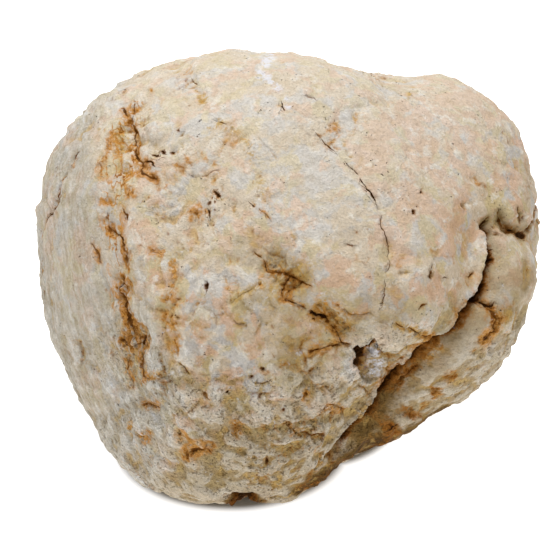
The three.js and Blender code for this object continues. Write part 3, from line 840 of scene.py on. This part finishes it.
def rind_material(colours):
    """Weathered calcite: cream, grey and blushed rock, with dust and painted shade low down and in its
    hollows, painted light on its upward faces, and rust along its seams.
    """
    material = bpy.data.materials.new("calcite_rind")
    material.use_nodes = True
    t = Tree(material.node_tree)
    colour = tuple(colours.cream)

    def paint(share, name):
        """Lays one of the colours over what is there."""
        nonlocal colour
        colour = t.mix(share, colour, tuple(getattr(colours, name)))

    place = t.add("ShaderNodeTexCoord").outputs["Object"]
    bent = t.bend(place, 0.005, 0.004)
    wavy = t.bend(place, 0.0016, 0.0012)

    cloud = t.noise(bent, 0.009, 4.0, 0.55)
    blotch = t.noise(bent, 0.005, 4.0, 0.55)
    patch = t.noise(t.shift(bent, 3.0), 0.0036, 4.0, 0.55)
    film = t.noise(t.shift(bent, 11.0), 0.0025, 4.0, 0.55)
    sand = t.noise(t.shift(bent, 13.0), 0.0044, 4.0, 0.55)
    mottle = t.noise(place, 0.0013, 4.0, 0.65)
    lace = t.noise(t.shift(place, 5.0), 0.001, 3.0, 0.6, 0.6)
    grain = t.noise(place, 0.0004, 2.0, 0.6)
    streak = t.noise(t.drawn_out(wavy, GRAIN, 0.9), 0.0008, 4.0, 0.6)
    lumps = t.cells(t.bend(place, 0.0016, 0.0011), 0.0017, "SMOOTH_F1").outputs["Distance"]
    hollow, flank, seam = t.attribute("hollow"), t.attribute("flank"), t.attribute("seam")
    rugged = t.attribute("rugged")
    busy = t.range(rugged, 0.1, 0.6, 0.65, 1.15)

    # cream with grey, sandy, blushed and milky patches
    grey = t.plus(blotch, t.times(t.attribute("grey"), 0.09))
    grey = t.minus(grey, t.times(t.attribute("dust"), 0.04))
    paint(t.range(grey, 0.49, 0.58, 0.0, 0.95), "grey")
    yellow = t.minus(sand, t.times(t.attribute("grey"), 0.06))
    paint(t.range(yellow, 0.49, 0.58, 0.0, 0.8), "sand")
    blush = t.plus(patch, t.times(t.attribute("blush"), 0.07))
    paint(t.range(blush, 0.5, 0.6, 0.0, 0.8), "blush")
    milky = t.plus(film, t.times(t.minus(lace, 0.5), 0.2))
    milk = t.times(t.range(milky, 0.55, 0.68), t.range(t.attribute("dust"), 0.4, 1.4, 0.7, 0.35))
    paint(milk, "pale_and_lit")
    # dust and painted shade: lower faces, the underside and under the lip go dust-coloured, then umber, then
    # near black
    dust = t.plus(t.attribute("dust"), t.times(t.minus(cloud, 0.5), 1.2))
    dust = t.plus(dust, t.times(t.minus(sand, 0.5), 1.2))
    dust = t.plus(dust, t.times(t.minus(mottle, 0.5), 0.6))
    paint(t.range(dust, 0.0, 1.1, 0.0, 0.85), "dust")
    paint(t.range(dust, 1.2, 2.3, 0.0, 0.85), "umber_shade")
    paint(t.range(dust, 2.1, 3.1, 0.0, 0.75), "dark")
    # painted light: the upward faces paler
    paint(t.times(t.attribute("pale_and_lit"), 0.4), "pale_and_lit")
    paint(t.times(flank, t.range(cloud, 0.4, 0.6, 0.5, 0.8)), "ash")

    # ochre in hollows and near crevices, partly stain and partly painted shade; paler on raised spots, partly
    # wear and partly painted highlight
    low = t.plus(t.times(hollow, 1.8), t.times(t.attribute("halo"), 0.4))
    low = t.times(t.times(low, t.range(patch, 0.38, 0.62, 0.25, 1.25)), busy)
    low = t.times(low, t.range(mottle, 0.35, 0.65, 0.7, 1.25))
    paint(t.range(low, 0.05, 0.6, 0.0, 0.6), "ochre")
    worn_highlight = t.times(t.range(hollow, -0.03, -0.22, 0.0, 0.38), t.range(rugged, 0.1, 0.35, 0.2, 1.0))
    worn_highlight = t.times(worn_highlight, t.range(dust, 1.3, 2.2, 1.0, 0.0))
    paint(worn_highlight, "pale_and_lit")

    # flecks of rust near crevices
    seep = t.plus(t.attribute("halo"), t.range(cloud, 0.5, 0.7, 0.0, 0.5), clamp=True)
    fleck = t.times(t.range(lace, 0.54, 0.68), t.times(seep, busy))
    paint(t.times(fleck, 0.45, clamp=True), "orange")

    # the sketched stains, and the threads of rust that the seam is braided from
    thread = t.noise(t.drawn_out(wavy, GRAIN, 0.72), 0.0021, 2.0, 0.5)
    thread = t.times(t.math("ABSOLUTE", t.minus(thread, 0.5)), 4.0)
    ragged = t.plus(t.times(lace, 1.3), t.times(mottle, 1.3))
    ochre = t.times(t.attribute("ochre"), t.range(ragged, 1.05, 1.55, 0.3, 1.3))
    paint(t.range(ochre, 0.15, 0.85, 0.0, 0.8), "ochre")
    rust = t.times(t.attribute("rust"), t.range(ragged, 1.0, 1.6, 0.5, 1.3))
    kept = t.minus(1.0, seam)
    kept = t.plus(kept, t.times(seam, t.range(thread, 0.5, 0.1, 0.35, 1.4)), clamp=True)
    rust = t.times(rust, kept)
    stain = t.mix(t.range(dust, 0.6, 1.8, 0.0, 0.75), tuple(colours.orange), tuple(colours.rust))
    colour = t.mix(t.range(rust, 0.08, 0.6, 0.0, 0.85), colour, stain)
    paint(t.range(rust, 0.55, 1.1, 0.0, 0.85), "rust")
    woven = t.times(seam, t.range(blotch, 0.4, 0.56, 0.3, 1.2))
    braid = t.times(t.range(thread, 0.16, 0.04), t.range(woven, 0.25, 0.8))
    paint(t.times(braid, 0.8), "orange")
    core = t.times(t.range(thread, 0.06, 0.015), t.range(t.times(woven, mottle), 0.42, 0.56))
    paint(t.times(core, 0.85), "rust")

    # tone: random mottling, painted shade between the small lumps, dark places browner too, and the flank
    # streaked
    tone = t.times(t.minus(mottle, 0.5), t.times(busy, 0.75))
    tone = t.minus(tone, t.times(t.minus(lumps, 0.45), t.times(rugged, 0.3)))
    drawn = t.times(t.minus(streak, 0.48), t.plus(t.times(flank, 0.9), 0.15))
    tone = t.plus(tone, t.times(t.minus(blotch, 0.5), 0.3))
    tone = t.plus(t.plus(tone, drawn), 1.0)
    speckle = t.plus(t.times(t.minus(grain, 0.5), t.times(busy, 0.85)), 1.0)
    shade = [t.times(t.math("POWER", tone, power), speckle) for power in (0.76, 1.0, 1.45)]
    shade = t.add("ShaderNodeCombineXYZ", dict(enumerate(shade))).outputs[0]
    colour = t.add("ShaderNodeVectorMath", {0: colour, 1: shade}, operation="MULTIPLY").outputs[0]

    # white crystals, brown pores and black specks, all in loose swarms
    crystal = t.range(t.noise(t.shift(place, 21.0), 0.0006, 2.0), 0.62, 0.7)
    crystal = t.times(crystal, t.range(film, 0.5, 0.62))
    crystal = t.times(crystal, t.range(dust, 0.8, 2.0, 0.4, 0.0))
    paint(crystal, "white")
    pore = t.range(t.noise(t.shift(place, 31.0), 0.0007, 3.0, 0.6), 0.58, 0.68)
    pore = t.times(pore, t.range(t.times(rugged, t.plus(patch, 0.5)), 0.15, 0.7))
    paint(t.times(pore, 0.6), "pore")
    speck = t.range(t.noise(t.shift(place, 41.0), 0.0005, 2.0), 0.66, 0.72)
    speck = t.times(speck, t.range(t.noise(t.shift(place, 9.0), 0.005, 3.0), 0.52, 0.62))
    paint(t.times(speck, 0.85), "dark")

    # crevices: a soft shade, and a thin crack whose width comes and goes
    dark = t.times(t.attribute("dark"), t.range(ragged, 0.95, 1.6, 0.6, 1.3))
    paint(t.range(dark, 0.1, 0.7, 0.0, 0.85), "rust")
    paint(t.range(dark, 0.4, 1.0, 0.0, 0.95), "dark")
    off = t.plus(t.attribute("crack"), t.times(t.minus(lace, 0.5), 1.6))
    off = t.plus(t.math("ABSOLUTE", off), t.range(patch, 0.4, 0.6, 0.4, -0.1))
    off = t.plus(off, t.range(mottle, 0.4, 0.6, 0.15, -0.15))
    strength = t.attribute("cracked")
    cracked = t.times(t.range(off, 0.75, 0.3), t.range(strength, 0.12, 0.5))
    paint(t.times(cracked, 0.85), "rust")
    strength = t.plus(strength, t.minus(t.times(patch, 1.6), 0.8))
    paint(t.times(cracked, t.range(strength, 0.35, 0.85)), "dark")
    white = t.times(t.attribute("white"), t.range(ragged, 1.0, 1.6, 0.4, 1.5))
    white = t.range(white, 0.2, 0.8)
    paint(t.times(white, 0.85), "white")

    roughness = t.range(t.minus(mottle, t.times(white, 0.3)), 0.2, 0.8, 0.55, 0.95)
    bumps = t.plus(t.times(mottle, 1.1), t.times(grain, 0.65))
    bumps = t.plus(bumps, t.times(lace, 0.5))
    bumps = t.plus(bumps, t.times(t.times(streak, flank), 0.8))
    bumps = t.minus(bumps, t.times(lumps, 0.6))
    bumps = t.times(bumps, busy)
    bumps = t.minus(bumps, t.times(t.plus(t.plus(pore, speck), cracked), 0.5))
    normal = t.add("ShaderNodeBump", {"Height": bumps, "Strength": 1.0, "Distance": 0.0005}).outputs[0]
    inputs = {"Base Color": colour, "Roughness": roughness, "Normal": normal, "Specular IOR Level": 0.07}
    shader = t.add("ShaderNodeBsdfPrincipled", inputs)
    t.add("ShaderNodeOutputMaterial", {"Surface": shader.outputs[0]})
    return material


# The two ovals of the table that the stone overhangs closely, where the table doesn't glow, which paints the
# stone's contact shadow: their middles and radii, across and back.
SHADOW_OVALS = (((-0.009, -0.002), (0.019, 0.016)), ((0.006, 0.009), (0.015, 0.015)))


def table_material(colour):
    """Matt white board with painted light: it glows to stay white, and its two unlit ovals under the stone
    paint the contact shadow.
    """
    material = bpy.data.materials.new("table_white")
    material.use_nodes = True
    t = Tree(material.node_tree)
    place = t.add("ShaderNodeTexCoord").outputs["Object"]
    grain = t.noise(place, 0.002, 2.0)
    away = [t.reach(place, *oval) for oval in SHADOW_OVALS]
    # painted light: the glow, and the painted contact shadow in the ovals without it
    glow = t.range(t.math("MINIMUM", *away), 1.04, 1.19, 0.0, 0.95)
    roughness = t.range(grain, 0.3, 0.7, 0.8, 0.9)
    inputs = {"Base Color": colour, "Roughness": roughness, "Specular IOR Level": 0.1,
              "Emission Color": (1.0, 1.0, 1.0, 1.0), "Emission Strength": glow}
    shader = t.add("ShaderNodeBsdfPrincipled", inputs)
    t.add("ShaderNodeOutputMaterial", {"Surface": shader.outputs[0]})
    return material


# --- Settings -------------------------------------------------------------------------------------------


def colour(name, description, value):
    return FloatVectorProperty(
        name=name, description=description, default=(*value, 1.0), subtype="COLOR", size=4, min=0.0, max=1.0
    )


def amount(name, description, value, unit="NONE"):
    return FloatProperty(name=name, description=description, default=value, min=0.0, unit=unit)


length = partial(amount, unit="LENGTH")


class GeodeShape(bpy.types.PropertyGroup):
    """Sizes of the stone's relief."""

    heart_height: length("Heart height", "How high the point is that every side is sketched from", 0.037)
    large_plate: length("Large plates", "How far the large plates are across", 0.0125)
    middle_plate: length("Middle plates", "How far the middle plates are across", 0.0056)
    small_plate: length("Small plates", "How far the small knobs are across", 0.0024)


class GeodeColours(bpy.types.PropertyGroup):
    """Colours of the stone."""

    cream: colour("Cream", "Most of the rind", (0.6, 0.484, 0.348))
    grey: colour("Grey", "Clearer calcite that shows through the rind", (0.5, 0.46, 0.415))
    ash: colour("Ash", "Greyish film on the flank", (0.45, 0.42, 0.36))
    sand: colour("Sand", "Yellowish patches of the rind", (0.56, 0.443, 0.222))
    blush: colour("Blush", "Pinkish rind of the upper right and the far side", (0.6, 0.375, 0.235))
    # also painted light: lightens the upward faces, and raised spots as wear and painted highlight
    pale_and_lit: colour("Bleached", "Upward faces, washed by rain", (0.74, 0.69, 0.6))
    # dust and painted shade of the lower faces, the underside and under the lip
    dust: colour("Dust", "Yellowish dust of the lower faces", (0.335, 0.242, 0.115))
    # painted shade: where the lower faces, the underside and the shade under the lip are darker
    umber_shade: colour("Umber", "Brown dust that the stone picks up from below", (0.175, 0.094, 0.017))
    ochre: colour("Ochre", "Thin stain around crevices", (0.5, 0.33, 0.105))
    orange: colour("Orange", "Stain beside the seams", (0.5, 0.225, 0.042))
    rust: colour("Rust", "Strong stain along the seams", (0.2, 0.062, 0.004))
    pore: colour("Pores", "Small brownish pores", (0.17, 0.098, 0.028))
    # painted shade at the bottom of crevices and pits and on the darkest underside, and black specks
    dark: colour("Dark", "The bottom of crevices and pits", (0.04, 0.013, 0.0006))
    white: colour("White", "Pure calcite", (0.73, 0.73, 0.78))


class GeodeStage(bpy.types.PropertyGroup):
    """The table, the light and the camera."""

    table_width: length("Table width", "Width of the white table", 4.0)
    table_colour: colour("Table", "Colour of the table", (0.6, 0.6, 0.6))
    camera_distance: length("Camera distance", "From the heart to the camera", EYE_DISTANCE * MM)
    view_width: length("View width", "How much the camera sees across at the heart", 0.1008)
    lamp_power: amount("Lamp power", "Power of the overhead lamp in watts", 4.1)
    sky: amount("Sky", "Strength of the light from above", 0.42)
    horizon: amount("Sides", "Strength of the light from the sides", 0.11)


# --- Operators ------------------------------------------------------------------------------------------


class GEODE_OT_stone(bpy.types.Operator):
    """Carves the stone's fine surface from a copy of the plain solid"""

    bl_idname = "geode.stone"
    bl_label = "Stone"

    def execute(self, context):
        noise.seed_set(NOISE_SEED)
        shape = context.scene.geode_shape
        heart = np.array([0.0, 0.0, shape.heart_height / MM])
        # plate size, height of its rounding, height of its tilt, depth and half width of its crevices, seed
        layers = [
            (shape.large_plate / MM, 0.5, 1.7, 0.35, 0.35, 21),
            (shape.middle_plate / MM, 0.4, 0.9, 0.2, 0.22, 22),
            (shape.small_plate / MM, 0.3, 0.4, 0.1, 0.15, 23),
        ]
        bm = bmesh.new()
        bm.from_mesh(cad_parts[NODE].data)
        bmesh.ops.remove_doubles(bm, verts=bm.verts, dist=1e-6)
        for _ in range(WHOLE_CUTS):
            cut_finer(bm, bm.edges[:])
            smooth(bm, 6, 0.5)
        for triangles in FINER:
            points, normals = coordinates(bm, heart)
            close = Relief(points, normals, layers).closeness()
            bm.verts.index_update()
            ends = [(e.verts[0].index, e.verts[1].index) for e in bm.edges]
            start, end = np.array(ends).T
            length = np.linalg.norm(points[start] - points[end], axis=1)
            worth = np.minimum(close[start], close[end]) * np.clip(length - SHORTEST, 0.0, None)
            worth = np.round(worth, 6)  # edges that differ only in a last digit count as equal
            bm.edges.ensure_lookup_table()
            most = (triangles - len(bm.faces)) // 2  # each cut edge adds two triangles
            chosen = np.sort(np.argsort(-worth, kind="stable")[:most])
            cut_finer(bm, [bm.edges[i] for i in chosen])
        points, normals = coordinates(bm, heart)
        relief = Relief(points, normals, layers)
        mesh = bpy.data.meshes.new("geode_rind")
        bm.to_mesh(mesh)
        bm.free()
        places = relief.moved() + heart
        places[:, 2] = np.maximum(places[:, 2], 0.0)
        mesh.vertices.foreach_set("co", (places * MM).ravel())
        mesh.update()
        for name, values in relief.marks.items():
            if name != "knobs":
                keep(mesh, name, np.clip(values, -3.0, 3.0))
        edges = np.empty(2 * len(mesh.edges), int)
        mesh.edges.foreach_get("vertices", edges)
        turned = np.empty(3 * len(mesh.vertices))
        mesh.vertices.foreach_get("normal", turned)
        keep(mesh, "hollow", hollowness(places, turned.reshape(-1, 3), edges.reshape(-1, 2), AVERAGINGS))
        shade_smooth(mesh)
        mesh.materials.append(rind_material(context.scene.geode_colours))
        stone = place(mesh, "geode_rind")
        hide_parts(NODE)
        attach(stone, "root")
        return {"FINISHED"}


class GEODE_OT_stage(bpy.types.Operator):
    """Lays the white table, lights it and points the camera at the stone"""

    bl_idname = "geode.stage"
    bl_label = "Table, light and camera"

    def execute(self, context):
        stage = context.scene.geode_stage
        heart = Vector((0.0, 0.0, context.scene.geode_shape.heart_height))
        bm = bmesh.new()
        bmesh.ops.create_grid(bm, x_segments=1, y_segments=1, size=stage.table_width / 2)
        mesh = bpy.data.meshes.new("table")
        bm.to_mesh(mesh)
        bm.free()
        mesh.materials.append(table_material(stage.table_colour))
        place(mesh, "table")

        world = bpy.data.worlds.new("studio")
        world.use_nodes = True
        t = Tree(world.node_tree)
        sight = t.add("ShaderNodeTexCoord").outputs["Generated"]
        above = t.add("ShaderNodeSeparateXYZ", {0: sight}).outputs["Z"]
        strength = t.plus(t.range(above, 0.0, 0.9, stage.horizon, stage.sky),
                          t.range(above, 0.11, 0.19, 1.0 - stage.horizon, 0.0))
        sky = t.add("ShaderNodeBackground", {"Color": (1.0, 1.0, 1.0, 1.0), "Strength": strength})
        t.add("ShaderNodeOutputWorld", {"Surface": sky.outputs[0]})
        context.scene.world = world

        lamp = bpy.data.lights.new("overhead", "AREA")
        lamp.shape, lamp.size, lamp.energy = "DISK", LAMP_WIDTH, stage.lamp_power
        overhead = bpy.data.objects.new("overhead", lamp)
        overhead.location = LAMP_PLACE
        overhead.rotation_euler = (heart - overhead.location).to_track_quat("-Z", "Y").to_euler()
        context.scene.collection.objects.link(overhead)

        camera = bpy.data.cameras.new("camera")
        camera.sensor_width = 36.0
        camera.lens = camera.sensor_width * stage.camera_distance / stage.view_width
        camera.clip_start, camera.clip_end = 0.01, 10.0
        viewer = bpy.data.objects.new("camera", camera)
        viewer.location = heart + Vector(SHOWING.out) * stage.camera_distance
        viewer.rotation_euler = Vector(-SHOWING.out).to_track_quat("-Z", "Y").to_euler()
        context.scene.collection.objects.link(viewer)
        context.scene.camera = viewer
        context.scene.view_settings.view_transform = "Standard"
        return {"FINISHED"}


class GEODE_PT_panel(bpy.types.Panel):
    """The geode's sizes, colours and steps"""

    bl_idname = "GEODE_PT_panel"
    bl_label = "Geode"
    bl_space_type = "VIEW_3D"
    bl_region_type = "UI"
    bl_category = "Geode"

    def draw(self, context):
        for settings, operator in GROUPS:
            box = self.layout.box()
            for group in settings:
                values = getattr(context.scene, group)
                for name in values.__annotations__:
                    box.prop(values, name)
            box.operator(operator.bl_idname)


GROUPS = [(("geode_shape", "geode_colours"), GEODE_OT_stone), (("geode_stage",), GEODE_OT_stage)]
CLASSES = [GeodeShape, GeodeColours, GeodeStage, GEODE_OT_stone, GEODE_OT_stage, GEODE_PT_panel]


def register():
    for cls in CLASSES:
        bpy.utils.register_class(cls)
    bpy.types.Scene.geode_shape = PointerProperty(type=GeodeShape)
    bpy.types.Scene.geode_colours = PointerProperty(type=GeodeColours)
    bpy.types.Scene.geode_stage = PointerProperty(type=GeodeStage)


def unregister():
    for name in ("geode_shape", "geode_colours", "geode_stage"):
        delattr(bpy.types.Scene, name)
    for cls in reversed(CLASSES):
        bpy.utils.unregister_class(cls)


def main():
    register()
    bpy.ops.geode.stone()
    bpy.ops.geode.stage()


if __name__ == "__main__":
    main()
